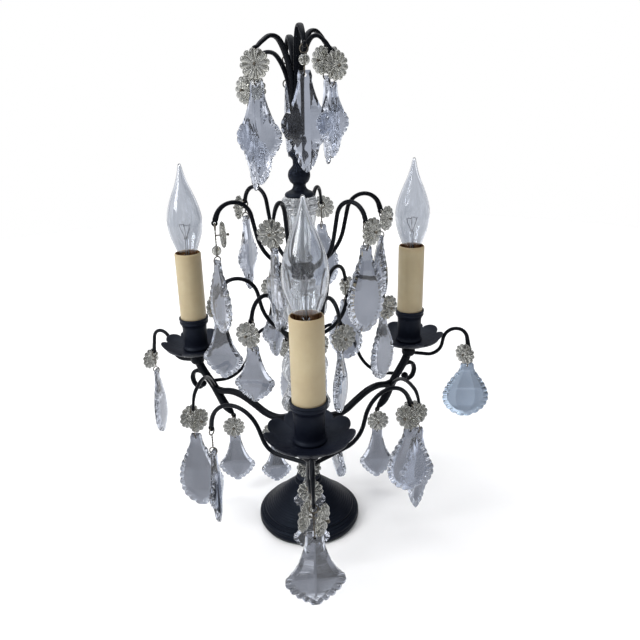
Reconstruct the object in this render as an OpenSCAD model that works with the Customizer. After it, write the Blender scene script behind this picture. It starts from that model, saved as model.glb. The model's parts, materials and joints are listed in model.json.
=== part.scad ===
// Girandole candle holder: round foot, turned stem with glass sections,
// three strap arms with electric candles, and four rings of hanging crystals.
// Millimetres. Origin at the centre of the foot's underside, +Z up, one arm along -Y.

/* [Foot and stem] */
// Diameter of the round foot
foot_d = 102; // [98:1:108]
// Largest radius of the glass ball in the stem
ball_r = 22.5; // [20:0.5:24]
// Largest radius of the fluted glass bulge
bulge_r = 22.5; // [20:0.5:24]
// Diameter of the threaded stem rod
rod_d = 8; // [7:0.5:8]

/* [Candle arms] */
// Distance from the stem's axis to each candle's axis
arm_reach = 129; // [126:1:132]
// Width of the strap arms
strap_w = 8; // [6:0.5:8]
// Width of the curl under each candle
curl_w = 6; // [5:0.5:7]

/* [Candles] */
// Diameter of the candle sleeves
candle_d = 26; // [25:0.2:26]
// Length of the candle sleeves
candle_h = 71; // [66:1:74]
// Diameter of the bulbs
bulb_d = 34; // [30:1:36]
// Length of the bulb above the sleeve
bulb_h = 86; // [80:1:92]
// Diameter of the scalloped drip pans
pan_d = 71; // [66:1:74]

/* [Hooks] */
// Diameter of the hook wire
wire_d = 3.8; // [3.4:0.1:4]
// Height at which the upper hooks leave their ring
upper_z = 268; // [266:1:270]
// Height at which the lower hooks leave their ring
lower_z = 201; // [199:1:203]
// Radius of the pierced hook ends
eye_r = 2.8; // [2.6:0.1:3]

/* [Crystals] */
// Diameter of the rosettes
rosette_d = 23; // [20:0.5:23]
// Thickness of the plaques at the scalloped edge
plaque_t = 4; // [3.5:0.1:4.2]
// Extra thickness of the raised middle of a plaque
plaque_relief = 2.4; // [1:0.2:3]

/* [Hidden] */
$fn = 48;

front = -90;
right = 30;
left = 150;
arms = [front, right, left];

wire_r = wire_d / 2;
tip_r = 0.85 * wire_r;        // the outer hooks are of thinner wire
rod_r = rod_d / 2;
bore_r = rod_r + 0.15;
seat_z = 198;                 // where a candle sleeve stands in its cup
top_z = seat_z + candle_h;    // upper edge of the sleeves
crown_az = 42;
upper_az = 13;
lower_az = -7;
// top of each crown leaf, and height of its pierced end
crown_top = [466, 462, 450, 461, 468, 461];
crown_end = [452, 446, 430, 449, 452, 447];
// distance of that end from the stem's axis
crown_out = [36, 36, 40, 42, 30, 30];

dark = [0.12, 0.13, 0.16];
steel = [0.55, 0.55, 0.57];
cream = [0.85, 0.78, 0.64];
clear = [0.72, 0.76, 0.82, 0.6];
crystal = [0.66, 0.69, 0.75];

// ---------------------------------------------------------------- curves

function bez(a, b, c, d, t) =
    0.5 * (2 * b + (c - a) * t + (2 * a - 5 * b + 4 * c - d) * t * t + (3 * b - a - 3 * c + d) * t * t * t);
// a smooth line through the points p, n steps between each pair
function smooth(p, n) = concat(
    [for (i = [0 : len(p) - 2]) for (k = [0 : n - 1])
        bez(p[max(i - 1, 0)], p[i], p[i + 1], p[min(i + 2, len(p) - 1)], k / n)],
    [p[len(p) - 1]]);
function along(p, i) =
    let (a = p[max(i - 1, 0)], b = p[min(i + 1, len(p) - 1)], d = [b[0] - a[0], b[1] - a[1]]) d / norm(d);
function edge(p, s) = [for (i = [0 : len(p) - 1]) let (d = along(p, i))
    [p[i][0] - s * d[1] * p[i][2], p[i][1] + s * d[0] * p[i][2]]];
// outline of a strap: each point is [out, up, half thickness]
function ribbon(c, n) = let (p = smooth(c, n), l = edge(p, 1), r = edge(p, -1))
    concat(l, [for (i = [len(r) - 1 : -1 : 0]) r[i]]);
function shifted(c, x) = [for (q = c) [q[0] + x, q[1], q[2]]];

module strap(c, w, n = 3)
    rotate([90, 0, 0]) translate([0, 0, -w / 2]) linear_extrude(w) polygon(ribbon(c, n));

// a solid of revolution from a profile of [radius, height] points, drilled to radius b
module turned(p, b)
    rotate_extrude() polygon(concat(
        [[b, p[0][1]]], p, [[b, p[len(p) - 1][1]]]));

// ---------------------------------------------------------------- bent wire

// A wire is a list of steps in the X-Z plane: [length] runs straight,
// [radius, turn] bends, upwards where turn is positive. A state is [out, up, heading].
function after(s, p) = len(s) == 1
    ? [p[0] + s[0] * cos(p[2]), p[1] + s[0] * sin(p[2]), p[2]]
    : let (g = sign(s[1]), q = p[2] + s[1])
        [p[0] + g * s[0] * (sin(q) - sin(p[2])), p[1] - g * s[0] * (cos(q) - cos(p[2])), q];
function wire_end(w, p, i = 0) = i == len(w) ? p : wire_end(w, after(w[i], p), i + 1);
// centre of the pierced end
function eye_of(w, p) = let (e = wire_end(w, p)) [e[0] + 2.2 * cos(e[2]), e[1] + 2.2 * sin(e[2])];

// straight runs are a hair thicker and reach a little into the bends
module bent(s, r) {
    if (len(s) == 1)
        translate([-0.4, 0, 0]) rotate([0, 90, 0]) cylinder(r = r, h = s[0] + 0.8);
    else let (g = sign(s[1]), t = abs(s[1]))
        translate([0, 0, g * s[0]]) rotate([90, 0, 0]) rotate([0, 0, g > 0 ? -90 : 90 - t])
            rotate_extrude(angle = t) translate([s[0], 0]) circle(r = r - 0.06);
}

module wire(w, p, r = wire_r, i = 0)
    if (i < len(w)) {
        translate([p[0], 0, p[1]]) rotate([0, -p[2], 0]) bent(w[i], r);
        wire(w, after(w[i], p), r, i + 1);
    }

module eye(q) translate([q[0], 0, q[1]]) rotate([90, 0, 0]) cylinder(r = eye_r, h = 2.4, center = true);
module eye_bore(q) translate([q[0], 0, q[1]]) rotate([90, 0, 0]) cylinder(r = 1.1, h = 12, center = true);

// ring hooks, bent by hand: straight run, radius and turn of the upper bend, straight end
upper_bends = [[19, 15.5, -150, 4], [19, 15.5, -150, 4], [23, 15.5, -150, 2], [19, 15.5, -150, 4], [25, 15.5, -143, 2], [22, 15.5, -150, 2]];
lower_bends = [[10, 15.5, -150, 4], [10, 15.5, -150, 4], [10, 15.5, -150, 4], [10, 18.5, -150, 2], [12, 15.5, -150, 4], [10, 15.5, -150, 4]];
function ring_wire(b) = [[42, 62], [b[0]], [b[1], b[2]], [b[3]]];
upper_start = [10, upper_z, 16];
lower_start = [10, lower_z, 16];
function upper_eye(k) = eye_of(ring_wire(upper_bends[k]), upper_start);
function lower_eye(k) = eye_of(ring_wire(lower_bends[k]), lower_start);

// outer hook: radius of its upper bend, how far it is turned out of the arm's plane, straight end
function tip_wire(t) = [[18], [14, 88], [6], [t[0], -160], [t[2]]];
tip_start = [2, 152, -8];
front_tip = [10, 0, 15];
right_tip = [13, -31, 9];
left_tip = [12, -4, 15];
function tip_eye(t) = eye_of(tip_wire(t), tip_start);

// Side hooks, each [wire, start, turn out of the arm's plane, place along the arm from the candle]:
// swan-necked on the front arm and towards the back, plain bows towards the front on the other two.
swan_left = [[[30], [16, 67], [10], [26, -150], [3]], [0, 138, 0], 122, -10];
swan_right = [[[36], [22, 68], [6], [25.5, -140], [6]], [0, 136, 6], 122, -11];
swan_back = [[[14], [30, 78], [14], [23, -140], [2]], [0, 131, -10], 118, -14];
bow_left = [[[14], [63, -50], [11], [13, -65], [2]], [0, 125, 48], 113, -19.5];
bow_right = [[[16], [78, -42], [3], [13, -66], [2]], [0, 119.5, 40], 110, -23];
// hooks of an arm on its clockwise and on its other side
front_sides = [swan_left, swan_right];
right_sides = [bow_right, swan_back];
left_sides = [swan_back, bow_left];
function hook_eye(h) = eye_of(h[0], h[1]);
module at_side(h, s) translate([arm_reach + h[3], 0, 0]) rotate([0, 0, s * h[2]]) children();

leaf_eye = [arm_reach - 41, 96.5];
bar_eye = [38, 96];
function crown_eye(i) = [crown_out[i], crown_end[i]];

// ---------------------------------------------------------------- foot and stem

module felt_pad()
    color([0.2, 0.25, 0.2]) cylinder(d = foot_d - 4, h = 2);

module foot()
    color(dark) difference() {
        rotate_extrude() polygon([
            [bore_r, 46], [12, 46], [13.4, 45], [13.8, 43.6], [13.4, 42.4], [16, 40.6], [20, 37.6], [25, 33.2],
            [30, 28.6], [35, 24], [39, 20.4], [42, 18], [43.6, 17], [45, 15.4], [45, 13.8], [46.6, 12.6],
            [foot_d / 2 - 2, 11.4], [foot_d / 2 - 0.4, 9.4], [foot_d / 2, 7], [foot_d / 2, 4],
            [foot_d / 2 - 1, 2], [45.5, 2], [45.5, 6], [40, 11.5], [30, 18.5], [20, 23], [14, 25], [14, 33],
            [bore_r, 33]]);
        // cord inlet at the back of the rim
        translate([0, 38, 6.6]) rotate([-90, 0, 0]) cylinder(r = 3, h = 20);
    }

module foot_nut()
    color(steel) difference() {
        union() {
            translate([0, 0, 31.5]) cylinder(r = 11, h = 1.5);
            translate([0, 0, 25]) cylinder(d = 15, h = 6.5, $fn = 6);
        }
        translate([0, 0, 20]) cylinder(r = bore_r, h = 20);
    }

module stem_rod()
    color(steel) difference() {
        translate([0, 0, 22]) cylinder(r = rod_r, h = 338);
        translate([0, 0, 20]) cylinder(r = rod_r - 1.4, h = 345);
    }

module lower_stem()
    color(dark) turned([
        [11, 46], [12, 47.5], [11.6, 49.6], [9.4, 51.6], [8.2, 55], [7.8, 60], [8.2, 66], [9.4, 71], [10, 74.6],
        [9.4, 78], [8.2, 80.6], [7.8, 83], [9, 85.4], [11.8, 88], [13.2, 90.6], [13.2, 92.4], [12, 95],
        [9.4, 97], [8.2, 98.8], [8.6, 101]], bore_r);

module arm_hub()
    color(dark) difference() {
        turned([
            [15, 101], [16.4, 102.4], [16.8, 105], [16, 107.4], [15.4, 109], [15.4, 116], [16, 118], [17, 120],
            [17.6, 122.4], [17, 125], [15.4, 127]], bore_r);
        for (a = arms) rotate([0, 0, a]) {
            translate([8.4, -strap_w / 2 - 0.1, 105.6]) cube([14, strap_w + 0.2, 11.4]);
            translate([12.2, 0, 100]) cylinder(r = 1.7, h = 22);
        }
    }

module arm_screws()
    color(steel) for (a = arms) rotate([0, 0, a]) translate([12.2, 0, 0]) {
        translate([0, 0, 99]) cylinder(r = 2.8, h = 2);
        translate([0, 0, 100.5]) cylinder(r = 1.5, h = 21);
    }

module glass_flare()
    color(clear) turned([
        [17, 127], [22.4, 128.4], [24, 131], [23.8, 134], [22.2, 137.5], [20.2, 142], [18.4, 146.4],
        [17, 150.6], [16.4, 153.4], [14, 155]], bore_r + 1.6);

module glass_ball()
    color(clear) turned(concat(
        [[12.5, 155]],
        [for (a = [-55 : 10 : 55]) [ball_r * (0.3 + 0.7 * cos(a)), 170 + 17.6 * sin(a)]],
        [[12, 185]]), bore_r + 1.6);

module lower_hook_ring()
    color(dark) difference() {
        union() {
            turned([
                [10, 185], [12, 186], [12.4, 188], [11, 190.4], [9.6, 193], [10.4, 195.4], [13, 197.2],
                [13.6, lower_z], [13, 204.6], [10.4, 206.4], [9.4, 208.4], [11.4, 210], [11.8, 212]], bore_r);
            for (k = [0 : 5]) rotate([0, 0, lower_az + 60 * k]) {
                wire(ring_wire(lower_bends[k]), lower_start);
                eye(lower_eye(k));
            }
        }
        for (k = [0 : 5]) rotate([0, 0, lower_az + 60 * k]) eye_bore(lower_eye(k));
    }

module glass_bulge()
    color(clear) turned([
        [11, 212], [13.4, 213], [14, 215], [16.6, 218], [19.8, 222], [bulge_r - 0.6, 227], [bulge_r, 232],
        [bulge_r - 0.6, 236.6], [19.6, 241], [16.4, 244.6], [12.8, 247], [11.6, 249], [13, 250.6], [13.8, 253],
        [13, 255.6], [11, 257.2], [10.4, 259]], bore_r + 1.6);

module upper_hook_ring()
    color(dark) difference() {
        union() {
            turned([
                [10, 259], [11.6, 260.4], [10.6, 262.4], [11.8, 264], [13.2, 265.4], [13.6, upper_z],
                [13, 271], [10.6, 272.6], [9.6, 274.4], [11, 276]], bore_r);
            for (k = [0 : 5]) rotate([0, 0, upper_az + 60 * k]) {
                wire(ring_wire(upper_bends[k]), upper_start);
                eye(upper_eye(k));
            }
        }
        for (k = [0 : 5]) rotate([0, 0, upper_az + 60 * k]) eye_bore(upper_eye(k));
    }

module glass_vase()
    color(clear) turned([
        [9.6, 276], [11, 277.4], [10.8, 279.6], [9.4, 281.4], [9.6, 286], [10.4, 292], [11.6, 299], [12.8, 306],
        [13.6, 312], [14, 317], [13.2, 319.6], [15.4, 321], [16, 322.6], [15.2, 324.2], [14, 325], [15.6, 326.4],
        [16.2, 328], [15.4, 329.8], [13, 332]], bore_r + 1.6);

module spindle()
    color(dark) union() {
        turned([
            [12.4, 332], [13, 333.4], [11.6, 335.4], [7.4, 337.6], [5.6, 340.4], [5.8, 342.4], [8, 344.6],
            [9.4, 348], [9.6, 350.4], [9, 353.4], [6.8, 356.4], [5.2, 358.6], [5.2, 361]], bore_r);
        rotate_extrude() polygon([
            [0, 361], [5.2, 361], [5.4, 363], [7, 365], [8.4, 366.6], [8.6, 368.4], [7.6, 370], [5.8, 371.6],
            [5.4, 374], [6.6, 376.4], [7.4, 379], [6.4, 382], [2.5, 382], [2.5, 394], [0, 394]]);
    }

// leaf that rises to height t and ends at distance r, height e
function crown_leaf(t, r, e) = [
    [4.2, 384, 1.6], [4.3, 402, 1.8], [4.8, t - 36, 1.9], [0.22 * r, t - 18, 1.9], [0.41 * r, t - 4.4, 1.8],
    [0.62 * r, t - 1.6, 1.7], [0.82 * r, t - 6, 1.6], [0.945 * r, 0.6 * t + 0.4 * e - 5, 1.4], [r - 0.5, e + 1.6, 1.2]];

module crown()
    color(dark) difference() {
        union() {
            translate([0, 0, 382]) cylinder(r = 4.6, h = 44);
            rotate_extrude() polygon([
                [0, 424], [5.4, 424], [6, 427], [4.6, 430], [2.4, 433], [2, 436], [1, 438], [0, 438.4]]);
            for (k = [0 : 5]) rotate([0, 0, crown_az + 60 * k]) {
                strap(crown_leaf(crown_top[k], crown_out[k], crown_end[k]), 6.4);
                eye(crown_eye(k));
            }
        }
        translate([0, 0, 381]) cylinder(r = 2.65, h = 14);
        for (k = [0 : 5]) rotate([0, 0, crown_az + 60 * k]) eye_bore(crown_eye(k));
    }

// ---------------------------------------------------------------- candle arms

arm_bar = [
    [9, 111.6, 4.2], [19, 110.4, 3.8], [33, 106.6, 3], [47, 108.6, 2.8], [61, 116, 2.9],
    [75, 122.4, 3], [88, 124.4, 3], [100, 122.6, 3], [108, 123.6, 3]];
// measured from the candle's axis
arm_rise = [
    [0, 154, 4.6], [-4, 145.4, 4.2], [-11, 136, 3.8], [-18, 127.4, 3.6], [-24.6, 117, 3.9],
    [-31, 106.8, 4.2], [-36.4, 101.6, 3], [-40.4, 98.6, 1.7]];
arm_curl = [
    [-16, 130.6, 2.4], [-10, 137.4, 2.4], [-2, 140.6, 2.2], [5.6, 138, 2], [8.6, 130.6, 2], [6, 123.4, 1.9],
    [-0.6, 121, 1.8], [-4.4, 125, 1.6]];

module candle_arm(tip, sides)
    color(dark) difference() {
        union() {
            difference() {
                union() {
                    strap(arm_bar, strap_w);
                    strap(shifted(arm_rise, arm_reach), strap_w);
                    translate([arm_reach, 0, 0]) turned([
                        [4, 149], [5.6, 149.6], [7, 152], [7, 156], [6.2, 159], [8.4, 161], [9, 162.6], [8.4, 164]], 0.5);
                    translate([arm_reach, 0, 150]) cylinder(r = 4.4, h = 55);
                }
                // wire way up to the lamp socket
                translate([arm_reach, 0, 130]) cylinder(r = 2.5, h = 80);
                // screw that holds the arm in its hub
                translate([12.2, 0, 100]) cylinder(r = 1.7, h = 22);
            }
            strap(shifted(arm_curl, arm_reach), curl_w);
            translate([arm_reach - 4.4, 0, 126]) sphere(r = 3.8);
            translate([arm_reach, 0, 0]) rotate([0, 0, tip[1]]) {
                wire(tip_wire(tip), tip_start, tip_r);
                eye(tip_eye(tip));
            }
            for (s = [0, 1]) at_side(sides[s], 2 * s - 1) {
                wire(sides[s][0], sides[s][1]);
                eye(hook_eye(sides[s]));
            }
            eye(leaf_eye);
            eye(bar_eye);
            translate([bar_eye[0] - 1.8, -1.2, bar_eye[1] + 1]) cube([3.6, 2.4, 9]);
        }
        translate([arm_reach, 0, 0]) rotate([0, 0, tip[1]]) eye_bore(tip_eye(tip));
        eye_bore(leaf_eye);
        eye_bore(bar_eye);
        for (s = [0, 1]) at_side(sides[s], 2 * s - 1) eye_bore(hook_eye(sides[s]));
    }

module candle_arm_front() rotate([0, 0, front]) candle_arm(front_tip, front_sides);
module candle_arm_right() rotate([0, 0, right]) candle_arm(right_tip, right_sides);
module candle_arm_left() rotate([0, 0, left]) candle_arm(left_tip, left_sides);

module at_candles() for (a = arms) rotate([0, 0, a]) translate([arm_reach, 0, 0]) children();

// nine petals
function petal_r(a) = pan_d / 2 * (0.87 + 0.13 * sqrt(abs(cos(4.5 * a))));

module drip_pans()
    color(dark) at_candles() intersection() {
        rotate_extrude() polygon([
            [4.6, 164], [13, 164], [20, 164.6], [26, 166.4], [31, 169.2], [34, 172], [38, 176.6],
            [38, 179.2], [34, 174.2], [31, 171.4], [26, 168.6], [20, 166.9], [13, 166.4], [4.6, 166.4]]);
        translate([0, 0, 160]) linear_extrude(20) polygon([for (a = [0 : 4 : 356]) petal_r(a) * [cos(a), sin(a)]]);
    }

module candle_cups()
    color(dark) at_candles() rotate_extrude() polygon([
        [4.6, 166.4], [13, 166.4], [13.6, 168], [13, 169.4], [12.2, 171], [11.9, 174], [12, 180], [12.2, 186],
        [12.4, 190.6], [12.9, 193], [14.2, 195], [14.6, 196.6], [14.2, 198], [14.9, 199.4], [14.7, 201],
        [candle_d / 2 + 0.15, 201], [candle_d / 2 + 0.15, seat_z], [10.8, seat_z], [10.8, 196], [4.6, 196]]);

module candle_sleeves()
    color(cream) at_candles() rotate_extrude() polygon([
        [candle_d / 2 - 1.7, seat_z], [candle_d / 2, seat_z], [candle_d / 2, top_z - 2.6],
        [candle_d / 2 - 0.4, top_z - 1.2], [candle_d / 2 - 1.1, top_z - 0.2], [candle_d / 2 - 1.7, top_z]]);

module lamp_sockets()
    color([0.9, 0.89, 0.84]) at_candles() rotate_extrude() polygon([
        [4.6, 196], [10.5, 196], [10.5, 207], [9.6, 208], [9.6, 257], [8.6, 258], [7.2, 258], [7.2, 223],
        [2.5, 223], [2.5, 208], [4.6, 208]]);

// share of the widest radius, and height above the sleeve for an 86 mm bulb
bulb_line = [
    [0.52, -3], [0.57, 1], [0.75, 9], [0.91, 17], [0.985, 24], [1, 29], [0.975, 36], [0.88, 44], [0.73, 52],
    [0.545, 60], [0.37, 67], [0.235, 74], [0.145, 80]];

module bulb() {
    k = bulb_h / 86;
    r = bulb_d / 2;
    outer = concat(
        [[6.7, 226], [6.7, 256], [7.7, 260]],
        [for (q = bulb_line) [r * q[0], top_z + k * q[1]]],
        [[0.105 * r, top_z + 83.4 * k], [0.07 * r, top_z + 85.2 * k], [0, top_z + bulb_h]]);
    inner = concat(
        [[0, top_z + 78 * k]],
        [for (i = [len(bulb_line) - 2 : -1 : 0]) [r * bulb_line[i][0] - 1, top_z + k * bulb_line[i][1]]],
        [[6, 256], [1.5, 252], [1.5, 226]]);
    color(clear) rotate_extrude() polygon(concat(outer, inner));
}

module bulb_front() rotate([0, 0, front]) translate([arm_reach, 0, 0]) bulb();
module bulb_right() rotate([0, 0, right]) translate([arm_reach, 0, 0]) bulb();
module bulb_left() rotate([0, 0, left]) translate([arm_reach, 0, 0]) bulb();

// ---------------------------------------------------------------- hanging crystals

// half outlines of the plaques: share of the half width, share of the length
kite = [
    [0.27, 0], [0.33, 0.05], [0.3, 0.1], [0.36, 0.16], [0.44, 0.24], [0.56, 0.32], [0.72, 0.4], [0.9, 0.46],
    [1, 0.52], [0.97, 0.58], [0.86, 0.61], [0.87, 0.65], [0.74, 0.68], [0.6, 0.7], [0.5, 0.74], [0.46, 0.79],
    [0.38, 0.86], [0.28, 0.93], [0.12, 0.985]];
bell = [
    [0.26, 0], [0.34, 0.04], [0.33, 0.12], [0.36, 0.2], [0.42, 0.3], [0.52, 0.4], [0.68, 0.5], [0.86, 0.58],
    [1, 0.64], [0.96, 0.71], [0.82, 0.73], [0.8, 0.79], [0.64, 0.8], [0.58, 0.865], [0.4, 0.87], [0.34, 0.935],
    [0.2, 0.945], [0.12, 0.99]];
pear = [
    [0.27, 0], [0.36, 0.035], [0.34, 0.1], [0.4, 0.17], [0.48, 0.24], [0.58, 0.31], [0.66, 0.37], [0.76, 0.41],
    [0.8, 0.47], [0.91, 0.52], [0.92, 0.58], [1, 0.63], [0.97, 0.69], [0.99, 0.745], [0.9, 0.79], [0.87, 0.845],
    [0.74, 0.87], [0.66, 0.925], [0.48, 0.935], [0.36, 0.98], [0.18, 0.985]];

// whole outline, shrunk by k towards a point at 0.6 of the length
function outline(side, l, w, k) = let (h = [for (q = side) [k * q[0] * w / 2, -(0.6 + k * (q[1] - 0.6)) * l]])
    concat(h, [[0, -(0.6 + k * 0.4) * l]], [for (i = [len(h) - 1 : -1 : 0]) [-h[i][0], h[i][1]]]);

module plaque(l, w, side) rotate([90, 0, 90]) difference() {
    union() {
        linear_extrude(plaque_t, center = true) polygon(outline(side, l, w, 1));
        linear_extrude(plaque_t + plaque_relief, center = true) polygon(outline(side, l, w, 0.64));
    }
    translate([0, -3.6, 0]) cylinder(r = 1.5, h = 10, center = true);
}

// twelve-petalled rosette, facing along X
module rosette() rotate([0, 90, 0]) difference() {
    union() {
        linear_extrude(4.4, center = true) polygon([for (a = [0 : 5 : 355])
            rosette_d / 2 * (0.82 + 0.18 * sqrt(abs(cos(6 * a)))) * [cos(a), sin(a)]]);
        cylinder(r = 0.22 * rosette_d, h = 6, center = true);
    }
    cylinder(r = 0.95, h = 10, center = true);
}

// loop of fine wire with radius r in the plane that faces along X
module loop(r, t) rotate([0, 90, 0]) rotate_extrude() translate([r, 0]) circle(r = t);

// One pendant: hangs from the origin, swings along X. l and w are the plaque's length and width,
// yaw turns the plaque about the upright, sides lists where rosettes sit (1 outside, -1 inside),
// face turns the rosettes, side is the plaque's outline, gap lengthens the wire above it, low is
// how far below the hook the rosettes sit, and bead is the place of a bead on the wire, 0 for none.
module drop(l, w, yaw, sides, face, side, gap = 0, low = 10.5, bead = 0) {
    color([0.6, 0.5, 0.3]) union() {
        translate([0, 0, -3.2]) loop(3.2, 0.6);
        translate([0, 0, -19.5 - gap]) cylinder(r = 0.7, h = 13.5 + gap);
        translate([0, 0, -22.6 - gap]) rotate([0, 0, yaw + 90]) loop(3.4, 0.55);
        for (s = sides) translate([0, 0, -low]) rotate([0, 0, face]) {
            rotate([0, s * 90, 0]) cylinder(r = 0.75, h = 10.9);
            translate([s * 11, 0, 0]) sphere(r = 1.3);
        }
    }
    color(crystal) for (s = sides) translate([0, 0, -low]) rotate([0, 0, face]) translate([s * 6.4, 0, 0]) rosette();
    if (bead > 0) color(crystal) translate([0, 0, -bead]) difference() {
        sphere(r = 4.4);
        cylinder(r = 0.95, h = 20, center = true);
    }
    color(crystal) translate([0, 0, -22.4 - gap]) rotate([0, 0, yaw]) plaque(l, w, side);
}

module on_ring(az, q) rotate([0, 0, az]) translate([q[0], 0, q[1]]) children();
module on_tip(az, t) rotate([0, 0, az]) translate([arm_reach, 0, 0]) rotate([0, 0, t[1]])
    translate([tip_eye(t)[0], 0, tip_eye(t)[1]]) children();
module on_side(az, h, s) rotate([0, 0, az]) at_side(h, s) translate([hook_eye(h)[0], 0, hook_eye(h)[1]]) children();

module crown_drop_1() on_ring(crown_az, crown_eye(0)) drop(74, 38, -25, [1, -1], 0, kite);
module crown_drop_2() on_ring(crown_az + 60, crown_eye(1)) drop(62, 38, 75, [-1], 75, kite);
module crown_drop_3() on_ring(crown_az + 120, crown_eye(2)) drop(72, 40, 45, [1, -1], 63, kite);
module crown_drop_4() on_ring(crown_az + 180, crown_eye(3)) drop(80, 42, 20, [1], 45, kite);
module crown_drop_5() on_ring(crown_az + 240, crown_eye(4)) drop(78, 41, -14, [], 0, kite, -4, 10.5, 11);
module crown_drop_6() on_ring(crown_az + 300, crown_eye(5)) drop(60, 34, -40, [1], -40, kite);

module upper_drop_1() on_ring(upper_az, upper_eye(0)) drop(62, 36, 0, [1], -50, pear, 0, 6.5);
module upper_drop_2() on_ring(upper_az + 60, upper_eye(1)) drop(66, 36, 0, [1], 0, pear, 0, 6.5);
module upper_drop_3() on_ring(upper_az + 120, upper_eye(2)) drop(74, 36, 20, [1], 35, kite, -8, 6.5);
module upper_drop_4() on_ring(upper_az + 180, upper_eye(3)) drop(68, 34, 25, [-1], 0, pear, 10, 10.5, 24);
module upper_drop_5() on_ring(upper_az + 240, upper_eye(4)) drop(70, 36, -48, [1], 0, kite, -4, 6.5);
module upper_drop_6() on_ring(upper_az + 300, upper_eye(5)) drop(76, 38, -14, [1], 0, pear, -4, 6.5);

module lower_drop_1() on_ring(lower_az, lower_eye(0)) drop(64, 36, -36, [1], -45, pear, -6, 6.5);
module lower_drop_2() on_ring(lower_az + 60, lower_eye(1)) drop(66, 38, 10, [1], 0, pear);
module lower_drop_3() on_ring(lower_az + 120, lower_eye(2)) drop(64, 36, 20, [1], 0, kite);
module lower_drop_4() on_ring(lower_az + 180, lower_eye(3)) drop(62, 43, 75, [1], -20, bell);
module lower_drop_5() on_ring(lower_az + 240, lower_eye(4)) drop(53, 36, 25, [1], 10, bell);
module lower_drop_6() on_ring(lower_az + 300, lower_eye(5)) drop(60, 34, 45, [1], 0, pear);

module tip_drop_front() on_tip(front, front_tip) drop(66, 46, 4, [1, -1], 65, bell);
module tip_drop_right() on_tip(right, right_tip) drop(65, 52, 85, [-1], 45, pear, -4.5, 6);
module tip_drop_left() on_tip(left, left_tip) drop(79, 36, 26, [1], 0, pear);

module side_drop_front_a() on_side(front, front_sides[1], 1) drop(67, 42, 65, [1, -1], 20, pear);
module side_drop_front_b() on_side(front, front_sides[0], -1) drop(76, 34, 19, [], 0, kite);
module side_drop_right_a() on_side(right, right_sides[1], 1) drop(74, 36, 0, [1, -1], 0, pear, -4, 8.5);
module side_drop_right_b() on_side(right, right_sides[0], -1) drop(91, 35, 0, [-1], 0, kite);
module side_drop_left_a() on_side(left, left_sides[1], 1) drop(80, 41, 0, [1, -1], 55, pear, 4);
module side_drop_left_b() on_side(left, left_sides[0], -1) drop(74, 36, 0, [1, -1], 0, pear, -4, 8.5);

module leaf_drop_front() on_ring(front, leaf_eye) drop(48, 33, 0, [-1], 0, bell);
module leaf_drop_right() on_ring(right, leaf_eye) drop(62, 38, 60, [-1], 60, bell);
module leaf_drop_left() on_ring(left, leaf_eye) drop(58, 40, -60, [-1], -60, bell);

module bar_drop_front() on_ring(front, bar_eye) drop(42, 31, 0, [1], 0, bell);
module bar_drop_right() on_ring(right, bar_eye) drop(42, 31, -10, [1], 0, bell);
module bar_drop_left() on_ring(left, bar_eye) drop(44, 32, -60, [1], -35, bell);

felt_pad();
foot();
foot_nut();
stem_rod();
lower_stem();
arm_hub();
arm_screws();
glass_flare();
glass_ball();
lower_hook_ring();
glass_bulge();
upper_hook_ring();
glass_vase();
spindle();
crown();
candle_arm_front();
candle_arm_right();
candle_arm_left();
drip_pans();
candle_cups();
candle_sleeves();
lamp_sockets();
bulb_front();
bulb_right();
bulb_left();
crown_drop_1();
crown_drop_2();
crown_drop_3();
crown_drop_4();
crown_drop_5();
crown_drop_6();
upper_drop_1();
upper_drop_2();
upper_drop_3();
upper_drop_4();
upper_drop_5();
upper_drop_6();
lower_drop_1();
lower_drop_2();
lower_drop_3();
lower_drop_4();
lower_drop_5();
lower_drop_6();
tip_drop_front();
tip_drop_right();
tip_drop_left();
side_drop_front_a();
side_drop_front_b();
side_drop_right_a();
side_drop_right_b();
side_drop_left_a();
side_drop_left_b();
leaf_drop_front();
leaf_drop_right();
leaf_drop_left();
bar_drop_front();
bar_drop_right();
bar_drop_left();
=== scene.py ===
"""Looks of the girandole candle holder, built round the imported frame. Lengths below are millimetres."""

import json
import math
import random

import bmesh
import bpy
from mathutils import Matrix, Vector


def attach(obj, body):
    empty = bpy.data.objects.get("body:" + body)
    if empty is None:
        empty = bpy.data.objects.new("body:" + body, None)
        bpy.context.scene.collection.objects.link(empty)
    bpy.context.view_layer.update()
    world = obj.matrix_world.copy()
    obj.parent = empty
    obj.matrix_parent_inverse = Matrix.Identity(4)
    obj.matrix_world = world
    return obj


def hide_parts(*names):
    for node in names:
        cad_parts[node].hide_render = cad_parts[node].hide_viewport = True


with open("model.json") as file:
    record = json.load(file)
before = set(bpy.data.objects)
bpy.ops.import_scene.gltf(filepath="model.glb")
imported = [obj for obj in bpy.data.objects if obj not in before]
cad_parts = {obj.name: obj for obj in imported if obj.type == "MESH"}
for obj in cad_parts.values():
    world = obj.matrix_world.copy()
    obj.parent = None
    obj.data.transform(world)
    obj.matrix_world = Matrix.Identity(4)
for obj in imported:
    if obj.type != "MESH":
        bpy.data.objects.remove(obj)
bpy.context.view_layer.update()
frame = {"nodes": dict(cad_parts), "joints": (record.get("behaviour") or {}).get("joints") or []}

MM = 0.001
TAU = 2 * math.pi
D = math.radians
FRONT, RIGHT, LEFT = -90, 30, 150
ARMS = {"front": FRONT, "right": RIGHT, "left": LEFT}
REACH = 129
SEAT, TOP = 198, 269


def sin(a):
    return math.sin(D(a))


def cos(a):
    return math.cos(D(a))


def mix(a, b, t):
    return a + (b - a) * t


def ramp(points, x):
    """Value at x of a line through (x, value) points."""
    if x <= points[0][0]:
        return points[0][1]
    for (a, p), (b, q) in zip(points, points[1:]):
        if x <= b:
            return mix(p, q, (x - a) / (b - a))
    return points[-1][1]


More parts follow.
